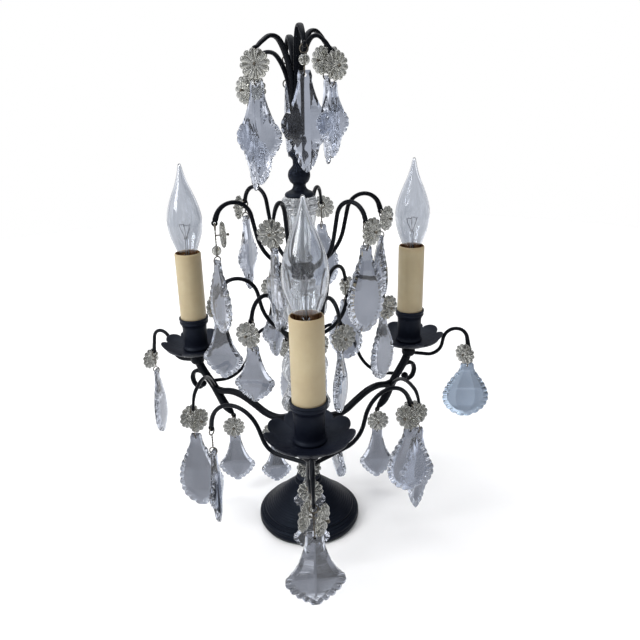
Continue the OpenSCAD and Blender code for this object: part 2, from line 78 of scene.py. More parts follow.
def spline(p, n):
    """A smooth line through the points p, with n steps between each pair."""
    out = []
    for i in range(len(p) - 1):
        a, b, c, d = p[max(i - 1, 0)], p[i], p[i + 1], p[min(i + 2, len(p) - 1)]
        for k in range(n):
            t = k / n
            out.append(
                tuple(
                    0.5 * (2 * y + (z - x) * t + (2 * x - 5 * y + 4 * z - w) * t * t + (3 * y - x - 3 * z + w) * t**3)
                    for x, y, z, w in zip(a, b, c, d)
                )
            )
    return out + [tuple(p[-1])]


# ------------------------------------------------------------------ materials


def shader(name):
    m = bpy.data.materials.new(name)
    m.use_nodes = True
    t = m.node_tree
    t.nodes.clear()
    out = t.nodes.new("ShaderNodeOutputMaterial")
    b = t.nodes.new("ShaderNodeBsdfPrincipled")
    t.links.new(b.outputs[0], out.inputs[0])
    coord = t.nodes.new("ShaderNodeTexCoord")
    return m, t, b, coord.outputs["Object"]


def noise(t, at, scale, detail=4.0, rough=0.55, stretch=None):
    n = t.nodes.new("ShaderNodeTexNoise")
    n.inputs["Scale"].default_value = scale
    n.inputs["Detail"].default_value = detail
    n.inputs["Roughness"].default_value = rough
    if stretch:
        m = t.nodes.new("ShaderNodeMapping")
        m.inputs["Scale"].default_value = stretch
        t.links.new(at, m.inputs["Vector"])
        at = m.outputs[0]
    t.links.new(at, n.inputs["Vector"])
    return n.outputs["Fac"]


def colours(t, fac, *stops):
    r = t.nodes.new("ShaderNodeValToRGB")
    e = r.color_ramp.elements
    while len(e) < len(stops):
        e.new(0.5)
    for k, (at, c) in zip(e, stops):
        k.position = at
        k.color = (*c, 1)
    t.links.new(fac, r.inputs[0])
    return r.outputs[0]


def between(t, fac, lo, hi, a=0.0, b=1.0):
    m = t.nodes.new("ShaderNodeMapRange")
    for k, v in zip(("From Min", "From Max", "To Min", "To Max"), (a, b, lo, hi)):
        m.inputs[k].default_value = v
    t.links.new(fac, m.inputs["Value"])
    return m.outputs[0]


def blend(t, fac, a, b):
    m = t.nodes.new("ShaderNodeMix")
    m.data_type = "RGBA"
    t.links.new(fac, m.inputs[0])
    for s, v in ((m.inputs[6], a), (m.inputs[7], b)):
        if isinstance(v, tuple):
            s.default_value = (*v, 1)
        else:
            t.links.new(v, s)
    return m.outputs[2]


def times(t, a, b):
    m = t.nodes.new("ShaderNodeMix")
    m.data_type, m.blend_type = "RGBA", "MULTIPLY"
    m.inputs[0].default_value = 1.0
    t.links.new(a, m.inputs[6])
    t.links.new(b, m.inputs[7])
    return m.outputs[2]


def bump(t, b, height, strength, distance):
    n = t.nodes.new("ShaderNodeBump")
    n.inputs["Strength"].default_value = strength
    n.inputs["Distance"].default_value = distance
    t.links.new(height, n.inputs["Height"])
    t.links.new(n.outputs[0], b.inputs["Normal"])


def edges(t, lo, hi):
    g = t.nodes.new("ShaderNodeNewGeometry")
    return between(t, g.outputs["Pointiness"], 0.0, 1.0, lo, hi)


def patina(name, dark, shine, tint, rough):
    m, t, b, at = shader(name)
    broad, fine = noise(t, at, 55, 5), noise(t, at, 620, 6, 0.65)
    shade = lambda *c: tuple(dark * k for k in c)
    base = colours(t, broad, (0.32, shade(0.0026, 0.0036, 0.0085)), (0.52, shade(0.0044, 0.0058, 0.0118)), (0.72, shade(0.0075, 0.009, 0.016)))
    speck = colours(t, fine, (0.58, (0, 0, 0)), (0.74, (1, 1, 1)))
    dusty = blend(t, between(t, speck, 0, 0.3), base, shade(0.019, 0.021, 0.026))
    worn = blend(t, between(t, edges(t, 0.53, 0.64), 0, 0.3), dusty, shade(0.035, 0.034, 0.034))
    t.links.new(worn, b.inputs["Base Color"])
    t.links.new(between(t, fine, *rough, 0.3, 0.7), b.inputs["Roughness"])
    b.inputs["Specular IOR Level"].default_value = shine
    b.inputs["Specular Tint"].default_value = (*tint, 1.0)
    bump(t, b, fine, 0.2, 0.0004)
    return m


def cut_glass(name, low, high, rough, ripple, scale, body=0.0):
    m, t, b, at = shader(name)
    n, haze = noise(t, at, scale, 3), noise(t, at, 300, 4)
    t.links.new(colours(t, n, (0.35, low), (0.65, high)), b.inputs["Base Color"])
    t.links.new(between(t, haze, rough[0], rough[1], 0.4, 0.7), b.inputs["Roughness"])
    b.inputs["Transmission Weight"].default_value = 1.0 - body
    b.inputs["IOR"].default_value = 1.52
    bump(t, b, n, ripple, 0.0006)
    return m


def bulb_clear():
    m, t, b, at = shader("bulb_glass_clear")
    n, film = noise(t, at, 70, 3), noise(t, at, 240, 3)
    t.links.new(colours(t, n, (0.3, (0.90, 0.92, 0.95)), (0.7, (0.95, 0.97, 0.99))), b.inputs["Base Color"])
    t.links.new(between(t, film, 0.0, 0.03, 0.4, 0.75), b.inputs["Roughness"])
    b.inputs["Transmission Weight"].default_value = 1.0
    b.inputs["IOR"].default_value = 1.47
    bump(t, b, n, 0.05, 0.0006)
    return m


def waxy():
    m, t, b, at = shader("candle_sleeve_cream")
    broad, streak, fine = noise(t, at, 40, 4), noise(t, at, 120, 4, 0.6, (1, 1, 0.09)), noise(t, at, 900, 3)
    base = colours(t, broad, (0.3, (0.385, 0.31, 0.184)), (0.55, (0.43, 0.354, 0.214)), (0.75, (0.465, 0.395, 0.247)))
    toned = blend(t, between(t, streak, 0, 0.3, 0.42, 0.72), base, (0.34, 0.27, 0.16))
    z = t.nodes.new("ShaderNodeSeparateXYZ")
    t.links.new(at, z.inputs[0])
    # painted shade: the outside of the sleeve is painted browner and darker towards its top rim
    rim = between(t, z.outputs[2], 0.0, 0.55, 0.262, 0.2695)
    # painted shade: the sleeve is painted darker towards its foot, where it sits in the cup
    foot = between(t, z.outputs[2], 0.4, 0.0, 0.2005, 0.212)
    toned = blend(t, rim, toned, (0.40, 0.30, 0.165))
    toned = blend(t, foot, toned, (0.33, 0.26, 0.155))
    t.links.new(toned, b.inputs["Base Color"])
    t.links.new(between(t, fine, 0.4, 0.58, 0.3, 0.7), b.inputs["Roughness"])
    b.inputs["Subsurface Weight"].default_value = 0.12
    b.inputs["Subsurface Radius"].default_value = (0.004, 0.0025, 0.0012)
    bump(t, b, streak, 0.12, 0.0006)
    return m


def card():
    m, t, b, at = shader("sleeve_inside_brown")
    n = noise(t, at, 260, 5, 0.6, (1, 1, 0.3))
    t.links.new(colours(t, n, (0.3, (0.12, 0.045, 0.012)), (0.7, (0.33, 0.15, 0.05))), b.inputs["Base Color"])
    t.links.new(between(t, n, 0.55, 0.8), b.inputs["Roughness"])
    bump(t, b, n, 0.3, 0.0004)
    return m


def moulded(name, low, high, rough=(0.32, 0.5)):
    m, t, b, at = shader(name)
    n, fine = noise(t, at, 90, 4), noise(t, at, 1100, 3)
    t.links.new(colours(t, n, (0.3, low), (0.7, high)), b.inputs["Base Color"])
    t.links.new(between(t, fine, *rough, 0.3, 0.7), b.inputs["Roughness"])
    bump(t, b, fine, 0.08, 0.0003)
    return m


def bare_metal(name, low, high, rough, scale=260):
    m, t, b, at = shader(name)
    n, fine = noise(t, at, scale, 5, 0.6), noise(t, at, 1500, 4)
    t.links.new(colours(t, n, (0.3, low), (0.7, high)), b.inputs["Base Color"])
    b.inputs["Metallic"].default_value = 1.0
    t.links.new(between(t, fine, *rough, 0.3, 0.7), b.inputs["Roughness"])
    bump(t, b, fine, 0.12, 0.0002)
    return m


def felt():
    m, t, b, at = shader("green_felt")
    n, fibre = noise(t, at, 120, 4), noise(t, at, 2200, 6, 0.7)
    base = colours(t, n, (0.3, (0.010, 0.022, 0.014)), (0.7, (0.022, 0.042, 0.028)))
    t.links.new(blend(t, between(t, fibre, 0, 0.5, 0.4, 0.8), base, (0.05, 0.075, 0.055)), b.inputs["Base Color"])
    b.inputs["Roughness"].default_value = 0.95
    b.inputs["Sheen Weight"].default_value = 0.4
    bump(t, b, fibre, 0.6, 0.0006)
    return m


PATINA = patina("blackened_patina", 1.0, 0.17, (0.72, 0.84, 1.0), (0.36, 0.58))
PATINA_WIRE = patina("blackened_wire", 0.3, 0.1, (0.84, 0.91, 1.0), (0.26, 0.44))
PATINA_FOOT = patina("blackened_foot", 0.7, 0.11, (0.66, 0.82, 1.0), (0.34, 0.54))
CRYSTAL = cut_glass("cut_crystal", (0.585, 0.62, 0.69), (0.675, 0.71, 0.78), (0.01, 0.05), 0.05, 34)
CRYSTAL_BLUE = cut_glass("cut_crystal_blue", (0.53, 0.65, 0.79), (0.61, 0.73, 0.87), (0.01, 0.04), 0.02, 26)
ROSETTE = cut_glass("pressed_rosette", (0.41, 0.41, 0.375), (0.56, 0.56, 0.51), (0.02, 0.06), 0.07, 60, 0.06)
STEM_GLASS = cut_glass("pressed_stem_glass", (0.60, 0.62, 0.635), (0.70, 0.72, 0.74), (0.05, 0.13), 0.10, 45, 0.12)
BULB = bulb_clear()
SLEEVE = waxy()
CARD = card()
SOCKET = moulded("socket_moulding", (0.62, 0.57, 0.46), (0.74, 0.7, 0.6))
INSULATOR = moulded("black_insulator", (0.006, 0.006, 0.007), (0.018, 0.017, 0.016), (0.15, 0.3))
STEEL = bare_metal("zinc_steel", (0.42, 0.42, 0.44), (0.58, 0.58, 0.6), (0.28, 0.46))
BRASS = bare_metal("cap_brass", (0.46, 0.32, 0.12), (0.66, 0.48, 0.22), (0.2, 0.36))
PIN_WIRE = bare_metal("tarnished_wire", (0.055, 0.05, 0.045), (0.17, 0.15, 0.12), (0.3, 0.5), 700)
FILAMENT = bare_metal("filament_wire", (0.16, 0.16, 0.17), (0.3, 0.3, 0.32), (0.3, 0.45), 900)
FELT = felt()

# ------------------------------------------------------------------ meshes


class Shape:
    """Vertices and faces in millimetres, in a local frame."""

    def __init__(self):
        self.v, self.f = [], []

    def face(self, corners, mat=0, smooth=True):
        self.f.append((tuple(corners), mat, smooth))

    def grid(self, rows, across=False, along=False, mat=0, smooth=True):
        """Quads between rows of points. across closes each row, along joins the last row to the first."""
        base, n, m = len(self.v), len(rows), len(rows[0])
        for r in rows:
            self.v.extend(Vector(p) for p in r)
        for i in range(n if along else n - 1):
            for j in range(m if across else m - 1):
                a, b = base + i * m + j, base + i * m + (j + 1) % m
                c, d = base + (i + 1) % n * m + (j + 1) % m, base + (i + 1) % n * m + j
                self.face((a, b, c, d), mat, smooth)

    def lathe(self, profile, turns=72, mat=0, centre=(0, 0), wave=None, closed=True, smooth=True):
        """Revolves (radius, height) points round a vertical axis. wave(angle, height) scales the radius."""
        rows = []
        for r, z in profile:
            rows.append(
                [
                    (
                        centre[0] + r * (wave(360 * k / turns, z) if wave else 1) * math.cos(TAU * k / turns),
                        centre[1] + r * (wave(360 * k / turns, z) if wave else 1) * math.sin(TAU * k / turns),
                        z,
                    )
                    for k in range(turns)
                ]
            )
        self.grid(rows, across=True, along=closed, mat=mat, smooth=smooth)

    def sweep(self, path, section, mat=0, round_ends=(True, True)):
        """path holds (point, tangent, normal, side); section(i, share) gives (along normal, along side) points."""
        rows, n = [], len(path)
        for i, (p, t, nn, s) in enumerate(path):
            rows.append([p + nn * a + s * b for a, b in section(i, i / (n - 1))])
        for end, wanted in ((0, round_ends[0]), (-1, round_ends[1])):
            p, t, nn, s = path[end]
            q = section(0 if end == 0 else n - 1, 0 if end == 0 else 1)
            size = min(max(abs(a) for a, _ in q), max(abs(b) for _, b in q))
            way = -t if end == 0 else t
            extra = []
            if wanted:
                for k in (30, 60, 82):
                    extra.append([p + way * size * sin(k) * 0.9 + nn * a * cos(k) + s * b * cos(k) for a, b in q])
                extra.append([p + way * size * 0.9] * len(q))
            else:
                extra.append([p] * len(q))
            rows = extra[::-1] + rows if end == 0 else rows + extra
        self.grid(rows, across=True, mat=mat)

    def ball(self, c, r, mat=0, turns=20, squash=1.0):
        c = Vector(c)
        self.grid(
            [
                [
                    c + Vector((r * math.sin(math.pi * i / 12) * math.cos(TAU * k / turns), r * math.sin(math.pi * i / 12) * math.sin(TAU * k / turns), r * squash * math.cos(math.pi * i / 12)))
                    for k in range(turns)
                ]
                for i in range(13)
            ],
            across=True,
            mat=mat,
        )

    def ring(self, c, axis_turn, big, small, mat=0, turns=28, sides=10):
        """Wire ring in the upright plane that faces axis_turn degrees round from X."""
        c, f, s, u = Vector(c), Vector((cos(axis_turn), sin(axis_turn), 0)), Vector((-sin(axis_turn), cos(axis_turn), 0)), Vector((0, 0, 1))
        rows = []
        for k in range(turns):
            out = s * math.cos(TAU * k / turns) + u * math.sin(TAU * k / turns)
            rows.append([c + out * big + (out * math.cos(TAU * j / sides) + f * math.sin(TAU * j / sides)) * small for j in range(sides)])
        self.grid(rows, across=True, along=True, mat=mat)

    def put(self, other, matrix):
        base = len(self.v)
        self.v.extend(matrix @ p for p in other.v)
        self.f.extend((tuple(i + base for i in c), m, s) for c, m, s in other.f)

    def mesh(self, name, matrix, sharp):
        me = bpy.data.meshes.new(name)
        me.from_pydata([(matrix @ p) * MM for p in self.v], [], [c for c, _, _ in self.f])
        me.polygons.foreach_set("material_index", [m for _, m, _ in self.f])
        me.polygons.foreach_set("use_smooth", [s for _, _, s in self.f])
        bm = bmesh.new()
        bm.from_mesh(me)
        bmesh.ops.remove_doubles(bm, verts=bm.verts, dist=2e-6)
        bmesh.ops.dissolve_degenerate(bm, edges=bm.edges, dist=1e-7)
        bmesh.ops.recalc_face_normals(bm, faces=bm.faces)
        bm.to_mesh(me)
        bm.free()
        if sharp:
            me.set_sharp_from_angle(angle=D(sharp))
        return me


def piece(name, shape, mats, body="base", replaces=(), matrix=None, sharp=38):
    me = shape.mesh(name, matrix or Matrix.Identity(4), sharp)
    for m in mats if isinstance(mats, (list, tuple)) else [mats]:
        me.materials.append(m)
    o = bpy.data.objects.new(name, me)
    bpy.context.scene.collection.objects.link(o)
    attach(o, body)
    if replaces:
        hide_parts(*([replaces] if isinstance(replaces, str) else replaces))
    return o


def cut(o, tool):
    """Takes the shape tool out of the piece o."""
    me = tool.mesh("tool", Matrix.Identity(4), None)
    c = bpy.data.objects.new("tool", me)
    bpy.context.scene.collection.objects.link(c)
    k = o.modifiers.new("cut", "BOOLEAN")
    k.operation, k.object, k.solver = "DIFFERENCE", c, "EXACT"
    done = bpy.data.meshes.new_from_object(o.evaluated_get(bpy.context.evaluated_depsgraph_get()))
    o.modifiers.clear()
    old, name = o.data, o.data.name
    o.data = done
    bpy.data.objects.remove(c)
    bpy.data.meshes.remove(me)
    bpy.data.meshes.remove(old)
    done.name = name
    return o


def finish_node(node, mat):
    """Gives a carried-over CAD node its finish."""
    me = frame["nodes"][node].data
    me.materials.clear()
    me.materials.append(mat)


def at(az, x=0.0, z=0.0):
    return Matrix.Rotation(D(az), 4, "Z") @ Matrix.Translation((x, 0, z))


# ------------------------------------------------------------------ bent wire and straps


def wire_path(steps, start):
    """Points (x, z, heading) along a bent wire: [length] is straight, [radius, turn] is an arc."""
    x, z, h = start
    out = [(x, z, h)]
    for s in steps:
        if len(s) == 1:
            n = max(2, round(s[0] / 3))
            for k in range(1, n + 1):
                out.append((x + s[0] * k / n * cos(h), z + s[0] * k / n * sin(h), h))
        else:
            g, n = (1 if s[1] > 0 else -1), max(3, round(abs(s[1]) / 7))
            for k in range(1, n + 1):
                q = h + s[1] * k / n
                out.append((x + g * s[0] * (sin(q) - sin(h)), z - g * s[0] * (cos(q) - cos(h)), q))
        x, z, h = out[-1]
    return out


def eye_at(path):
    x, z, h = path[-1]
    return x + 2.2 * cos(h), z + 2.2 * sin(h)


def frames(points):
    out = []
    for x, z, h in points:
        out.append((Vector((x, 0, z)), Vector((cos(h), 0, sin(h))), Vector((-sin(h), 0, cos(h))), Vector((0, 1, 0))))
    return out


def eye(shape, x, z, mat=0):
    """Pierced round end of a hook, bored along Y."""
    c, n = [], 30
    prof = [(1.1, -0.8), (1.1, 0.8), (1.35, 1.1), (2.2, 1.2), (2.6, 0.95), (2.8, 0.45), (2.8, -0.45), (2.6, -0.95), (2.2, -1.2), (1.35, -1.1)]
    rows = [[(x + r * math.cos(TAU * k / n), y, z + r * math.sin(TAU * k / n)) for k in range(n)] for r, y in prof]
    shape.grid(rows, across=True, along=True, mat=mat)


def hook(shape, path, r=1.86):
    """A round wire that flattens and widens into its pierced end."""
    far, run = [0.0], path
    for a, b in zip(run, run[1:]):
        far.append(far[-1] + math.hypot(b[0] - a[0], b[1] - a[1]))
    length = far[-1]

    def section(i, share):
        left = length - far[i]
        thick = ramp([(0, 2.6), (3, max(2.45, r)), (9, mix(r, 2.45, 0.45)), (17, r)], left)
        flat = ramp([(0, 1.15), (4, 1.3), (10, 0.86 * r), (17, 0.97 * r)], left)
        return [(thick * math.cos(TAU * k / 14), flat * math.sin(TAU * k / 14)) for k in range(14)]

    shape.sweep(frames(run), section, round_ends=(True, False))
    x, z = eye_at(path)
    eye(shape, x, z)


def strap(shape, points, width, n=5, square=3.4, ends=(True, True)):
    """A bent bar: points are (out, up, half thickness); width is a number or a function of the share along it."""
    p = spline(points, n)
    out = []
    for i, (x, z, _) in enumerate(p):
        a, b = p[max(i - 1, 0)], p[min(i + 1, len(p) - 1)]
        h = math.degrees(math.atan2(b[1] - a[1], b[0] - a[0]))
        out.append((x, z, h))

    def section(i, share):
        w = width(share) if callable(width) else width
        q = []
        for k in range(20):
            c, s = math.cos(TAU * (k + 0.5) / 20), math.sin(TAU * (k + 0.5) / 20)
            q.append((math.copysign(abs(c) ** (2 / square), c) * p[i][2], math.copysign(abs(s) ** (2 / square), s) * w / 2))
        return q

    shape.sweep(frames(out), section, round_ends=ends)


def turned(profile, bore, n=4):
    """Closed profile of a turned piece, drilled to radius bore."""
    line = spline(profile, n)
    return [(bore, line[0][1])] + line + [(bore, line[-1][1])]


# ------------------------------------------------------------------ foot and stem


def make_foot():
    top = spline([(12, 46), (13.4, 45), (13.8, 43.6), (13.4, 42.4), (14.3, 41.6), (16, 40.6)], 5)
    # fine turned rings on the slope
    slope = [(16, 40.6), (20, 37.6), (25, 33.2), (30, 28.6), (35, 24), (39, 20.4), (42, 18), (43.2, 17.2)]
    for k in range(1, 141):
        t = k / 140
        ripple = 0.2 * abs(math.sin(math.pi * 14 * t)) - 0.1
        r = mix(16, 43.2, t)
        top.append((r + ripple * 0.67, ramp(slope, r) + ripple * 0.74))
    rim = spline([(43.6, 16.6), (44.9, 16.0), (45.3, 14.9), (44.8, 13.9), (45.6, 13.2), (47.0, 12.9), (48.0, 12.2), (47.9, 11.5), (49.2, 11.1), (50.4, 10.0), (50.9, 8.6), (50.3, 7.6), (50.6, 6.9), (51, 5.6), (51, 4), (50.2, 2.1)], 3)
    under = [(45.5, 2), (45.5, 6), (40, 11.5), (30, 18.5), (20, 23), (14, 25), (14, 33), (4.15, 33), (4.15, 46)]
    s = Shape()
    s.lathe(top + rim + under, 144)
    o = piece("foot_turned", s, PATINA_FOOT, replaces="foot", sharp=42)
    hole = Shape()
    hole.grid([[(3 * math.cos(TAU * k / 32), 38 + y, 6.6 + 3 * math.sin(TAU * k / 32)) for k in range(32)] for y in (0, 20)], across=True)
    hole.face(range(32))
    hole.face(range(32, 64))
    cut(o, hole)


def make_stem():
    s = Shape()
    s.lathe(turned([(11, 46), (12, 47.5), (11.6, 49.6), (9.4, 51.6), (8.2, 55), (7.8, 60), (8.2, 66), (9.4, 71), (10, 74.6), (9.4, 78), (8.2, 80.6), (7.8, 83), (9, 85.4), (11.8, 88), (13.2, 90.6), (13.2, 92.4), (12, 95), (9.4, 97), (8.2, 98.8), (8.6, 101)], 4.15), 72)
    piece("lower_stem_turned", s, PATINA, replaces="lower_stem")
    s = Shape()
    s.lathe(turned([(12.4, 332), (13, 333.4), (11.6, 335.4), (7.4, 337.6), (5.6, 340.4), (5.8, 342.4), (8, 344.6), (9.4, 348), (9.6, 350.4), (9, 353.4), (6.8, 356.4), (5.2, 358.6), (5.2, 361)], 4.15), 64)
    s.lathe([(0, 361)] + spline([(5.2, 361), (5.4, 363), (7, 365), (8.4, 366.6), (8.6, 368.4), (7.6, 370), (5.8, 371.6), (5.4, 374), (6.6, 376.4), (7.4, 379), (6.4, 382)], 4) + [(2.5, 382), (2.5, 394), (0, 394)], 64, closed=False)
    piece("spindle_turned", s, PATINA, replaces="spindle")


def make_rings():
    lower = [(10, 185), (12, 186), (12.4, 188), (11, 190.4), (9.6, 193), (10.4, 195.4), (13, 197.2), (13.6, 201), (13, 204.6), (10.4, 206.4), (9.4, 208.4), (11.4, 210), (11.8, 212)]
    upper = [(10, 259), (11.6, 260.4), (10.6, 262.4), (11.8, 264), (13.2, 265.4), (13.6, 268), (13, 271), (10.6, 272.6), (9.6, 274.4), (11, 276)]
    upper_bends = [(19, 15.5, -150, 4), (19, 15.5, -150, 4), (23, 15.5, -150, 2), (19, 15.5, -150, 4), (25, 15.5, -143, 2), (22, 15.5, -150, 2)]
    lower_bends = [(10, 15.5, -150, 4), (10, 15.5, -150, 4), (10, 15.5, -150, 4), (10, 18.5, -150, 2), (12, 15.5, -150, 4), (10, 15.5, -150, 4)]
    for name, prof, z, bends, az in (("lower_hook_ring", lower, 201, lower_bends, -7), ("upper_hook_ring", upper, 268, upper_bends, 13)):
        s = Shape()
        s.lathe(turned(prof, 4.15), 64)
        for k, (run, bend, turn, end) in enumerate(bends):
            h = Shape()
            hook(h, wire_path([[42, 62], [run], [bend, turn], [end]], (10, z, 16)))
            s.put(h, at(az + 60 * k))
        piece(name + "_forged", s, PATINA_WIRE, replaces=name)


def fluted(count, depth, lo, hi, fade=4.0):
    """Scales a radius into rounded flutes between two heights."""

    def wave(a, z):
        d = depth * max(0.0, min(1.0, (z - lo) / fade, (hi - z) / fade))
        return 1 - d * (1 - abs(cos(count * a / 2)) ** 0.7)

    return wave


def make_glass_stem():
    bore = 5.75
    flare = [(17, 127), (22.4, 128.4), (24, 131), (23.8, 134), (22.2, 137.5), (20.2, 142), (18.4, 146.4), (17, 150.6), (16.4, 153.4), (14, 155)]
    ball = [(12.5, 155)] + [(22.5 * (0.3 + 0.7 * cos(a)), 170 + 17.6 * sin(a)) for a in range(-55, 56, 10)] + [(12, 185)]
    bulge = [(11, 212), (13.4, 213), (14, 215), (16.6, 218), (19.8, 222), (21.9, 227), (22.5, 232), (21.9, 236.6), (19.6, 241), (16.4, 244.6), (12.8, 247), (11.6, 249), (13, 250.6), (13.8, 253), (13, 255.6), (11, 257.2), (10.4, 259)]
    vase = [(9.6, 276), (11, 277.4), (10.8, 279.6), (9.4, 281.4), (9.6, 286), (10.4, 292), (11.6, 299), (12.8, 306), (13.6, 312), (14, 317), (13.2, 319.6), (15.4, 321), (16, 322.6), (15.2, 324.2), (14, 325), (15.6, 326.4), (16.2, 328), (15.4, 329.8), (13, 332)]
    for name, prof, wave in (
        ("glass_flare", flare, fluted(16, 0.09, 127, 154)),
        ("glass_ball", ball, fluted(12, 0.10, 157, 183)),
        ("glass_bulge", bulge, fluted(14, 0.10, 214, 247)),
        ("glass_vase", vase, fluted(12, 0.09, 281, 318)),
    ):
        s = Shape()
        s.lathe(turned(prof, bore, 4), 168, wave=lambda a, z, w=wave: w(a, z))
        piece(name + "_pressed", s, STEM_GLASS, replaces=name)


CROWN_TOP = [466, 462, 450, 461, 468, 461]
CROWN_END = [452, 446, 430, 449, 452, 447]
CROWN_OUT = [36, 36, 40, 42, 30, 30]


def make_crown():
    s = Shape()
    s.lathe([(0, 382), (4.6, 382), (4.6, 424)] + spline([(5.4, 424), (6, 427), (4.6, 430), (2.4, 433), (2, 436), (1, 438), (0, 438.4)], 4), 40, closed=False)
    for k in range(6):
        t, r, e = CROWN_TOP[k], CROWN_OUT[k], CROWN_END[k]
        leaf = [(4.2, 384, 1.6), (4.3, 402, 1.8), (4.8, t - 36, 1.9), (0.22 * r, t - 18, 1.9), (0.41 * r, t - 4.6, 1.75), (0.62 * r, t - 1.9, 1.65), (0.82 * r, t - 6, 1.6), (0.945 * r, 0.6 * t + 0.4 * e - 5, 1.4), (r - 0.3, e + 1.9, 1.2)]
        h = Shape()
        strap(h, leaf, lambda q: ramp([(0, 6.2), (0.45, 6.0), (0.75, 4.6), (1, 3.0)], q), 6, 2.5)
        eye(h, r, e)
        s.put(h, at(42 + 60 * k))
    piece("crown_leaves", s, PATINA_WIRE, replaces="crown")


# ------------------------------------------------------------------ candle arms

ARM_BAR = [(9, 111.6, 4.2), (19, 110.4, 3.8), (33, 106.6, 3), (47, 108.6, 2.8), (61, 116, 2.9), (75, 122.4, 3), (88, 124.4, 3), (100, 122.6, 3), (108, 123.6, 3)]
ARM_RISE = [(0, 154, 4.6), (-4, 145.4, 4.2), (-11, 136, 3.8), (-18, 127.4, 3.6), (-24.6, 117, 3.9), (-31, 106.8, 4.2), (-36.4, 101.6, 3), (-40.0, 98.8, 1.7)]
ARM_CURL = [(-16, 130.6, 2.4), (-10, 137.4, 2.4), (-2, 140.6, 2.2), (5.6, 138, 2), (8.6, 130.6, 2), (6, 123.4, 1.9), (-0.6, 121, 1.8), (-4.4, 125, 1.6)]
TIPS = {"front": (10, 0, 15), "right": (13, -31, 9), "left": (12, -4, 15)}
# side hooks: bends, start, turn out of the arm's plane, place along the arm from the candle
SWAN_LEFT = ([[30], [16, 67], [10], [26, -150], [3]], (0, 138, 0), 122, -10)
SWAN_RIGHT = ([[36], [22, 68], [6], [25.5, -140], [6]], (0, 136, 6), 122, -11)
SWAN_BACK = ([[14], [30, 78], [14], [23, -140], [2]], (0, 131, -10), 118, -14)
BOW_LEFT = ([[14], [63, -50], [11], [13, -65], [2]], (0, 125, 48), 113, -19.5)
BOW_RIGHT = ([[16], [78, -42], [3], [13, -66], [2]], (0, 119.5, 40), 110, -23)
SIDES = {"front": (SWAN_LEFT, SWAN_RIGHT), "right": (BOW_RIGHT, SWAN_BACK), "left": (SWAN_BACK, BOW_LEFT)}


def make_arm(name, az):
    s = Shape()
    shift = lambda line: [(x + REACH, z, t) for x, z, t in line]
    strap(s, ARM_BAR, lambda q: ramp([(0, 8), (0.25, 7.6), (0.7, 6.6), (1, 6.0)], q), 6)
    strap(s, shift(ARM_RISE), lambda q: ramp([(0, 7), (0.3, 7.4), (0.6, 7.6), (0.8, 7.8), (0.93, 6.0), (1, 3.2)], q), 6, 2.7)
    strap(s, shift(ARM_CURL), lambda q: ramp([(0, 6), (0.7, 5.6), (1, 5)], q), 6, 2.8)
    s.ball((REACH - 4.4, 0, 126), 3.8)
    s.lathe(turned([(4, 149), (5.6, 149.6), (7, 152), (7, 156), (6.2, 159), (8.4, 161), (9, 162.6), (8.4, 164)], 2.5), 48, centre=(REACH, 0))
    s.lathe([(2.5, 160), (4.4, 160), (4.4, 205), (2.5, 205)], 40, centre=(REACH, 0))
    bend, turn, end = TIPS[name]
    h = Shape()
    hook(h, wire_path([[18], [14, 88], [6], [bend, -160], [end]], (2, 152, -8)), 1.9)
    s.put(h, Matrix.Translation((REACH, 0, 0)) @ Matrix.Rotation(D(turn), 4, "Z"))
    for g, (steps, start, out, place) in zip((-1, 1), SIDES[name]):
        h = Shape()
        hook(h, wire_path(steps, start))
        s.put(h, Matrix.Translation((REACH + place, 0, 0)) @ Matrix.Rotation(D(g * out), 4, "Z"))
    eye(s, REACH - 41, 96.5)
    eye(s, 38, 96)
    strap(s, [(38, 98.5, 1.8), (38, 101, 1.7), (38, 105.5, 1.8)], 2.4, 3, 3)
    piece(f"candle_arm_{name}_forged", s, PATINA_WIRE, replaces=f"candle_arm_{name}", matrix=at(az))


# ------------------------------------------------------------------ candles


def petal(a):
    return 0.85 + 0.15 * math.sqrt(abs(cos(4.5 * a)))


def make_pans():
    out = Shape()
    turns = 180
    over = [(4.6, 166.4), (13, 166.4), (20, 166.9), (26, 168.6), (31, 171.4), (34, 174.2), (38, 179.2)]
    under = [(4.6, 164), (13, 164), (20, 164.6), (26, 166.4), (31, 169.2), (34, 172), (38, 176.6)]
    shares = [0, 0.14, 0.28, 0.42, 0.54, 0.65, 0.75, 0.83, 0.9, 0.95, 0.985, 1.0]

    def pan():
        s = Shape()
        rows = []

        def place(a, q, side):
            edge = 35.5 * petal(a)
            r = mix(4.6, edge, q)
            hi, lo = ramp(over, r), ramp(under, r)
            # each petal is dished like a spoon, with a raised crease beside its neighbours
            c = abs(cos(4.5 * a))
            lift = 1.5 * (1 - c**0.8) * max(0.0, q - 0.35) ** 1.2 - 0.9 * max(0.0, c - 0.55) * max(0.0, q - 0.4)
            mid, half = (hi + lo) / 2 + lift * 0.8, (hi - lo) / 2
            half *= ramp([(0, 1), (0.9, 0.95), (0.96, 0.8), (0.985, 0.55), (1, 0.12)], q)
            return (r * cos(a), r * sin(a), mid + side * half)

        for q in shares:
            rows.append([place(360 * k / turns, q, 1) for k in range(turns)])
        for q in shares[::-1]:
            rows.append([place(360 * k / turns, q, -1) for k in range(turns)])
        s.grid(rows, across=True, along=True)
        return s

    one = pan()
    for az in ARMS.values():
        out.put(one, at(az, REACH))
    piece("drip_pans_petalled", out, PATINA, replaces="drip_pans", sharp=50)


